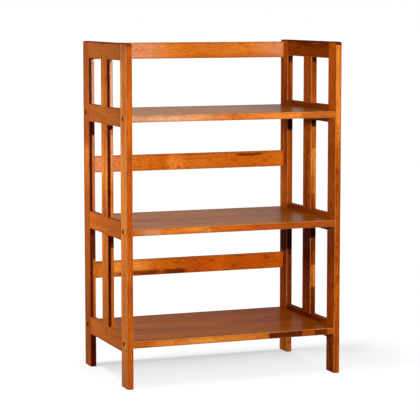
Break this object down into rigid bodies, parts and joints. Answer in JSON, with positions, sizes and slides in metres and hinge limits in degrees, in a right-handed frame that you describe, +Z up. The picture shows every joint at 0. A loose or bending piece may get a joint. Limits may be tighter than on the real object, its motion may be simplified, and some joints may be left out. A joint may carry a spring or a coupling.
{
  "type": "bookcase",
  "caption": "Open wooden bookcase with slatted side frames, fixed shelves and back rails, for standing on a floor.",
  "frame": {"origin": "on the floor, at the middle of the footprint of the side frames", "axes": "+Z is up, +X is to the right seen from the front, and -Y is the open front"},
  "size_m": [0.652, 0.4, 0.965],
  "materials": {
    "frame_wood": "gloss lacquer",
    "back_rail_wood": "gloss lacquer",
    "shelf_wood": "gloss lacquer",
    "plug_wood": "gloss lacquer",
    "screw_steel": "zinc plated",
    "dowel_wood": "bare wood"
  },
  "bodies": {
    "root": {"left_front_stile": "frame_wood", "left_rear_stile": "frame_wood", "left_top_rail": "frame_wood", "left_upper_rail": "frame_wood", "left_middle_rail": "frame_wood", "left_lower_rail": "frame_wood", "left_upper_slat": "frame_wood", "left_middle_slat": "frame_wood", "left_lower_slat": "frame_wood", "right_front_stile": "frame_wood", "right_rear_stile": "frame_wood", "right_top_rail": "frame_wood", "right_upper_rail": "frame_wood", "right_middle_rail": "frame_wood", "right_lower_rail": "frame_wood", "right_upper_slat": "frame_wood", "right_middle_slat": "frame_wood", "right_lower_slat": "frame_wood", "back_top_rail": "back_rail_wood", "back_middle_rail": "back_rail_wood", "back_lower_rail": "back_rail_wood", "top_shelf": "shelf_wood", "middle_shelf": "shelf_wood", "bottom_shelf": "shelf_wood", "left_shelf_plugs": "plug_wood", "right_shelf_plugs": "plug_wood", "left_shelf_screws": "screw_steel", "right_shelf_screws": "screw_steel", "left_frame_dowels": "dowel_wood", "right_frame_dowels": "dowel_wood", "left_shelf_dowels": "dowel_wood", "right_shelf_dowels": "dowel_wood", "left_back_rail_dowels": "dowel_wood", "right_back_rail_dowels": "dowel_wood"}
  },
  "joints": []
}
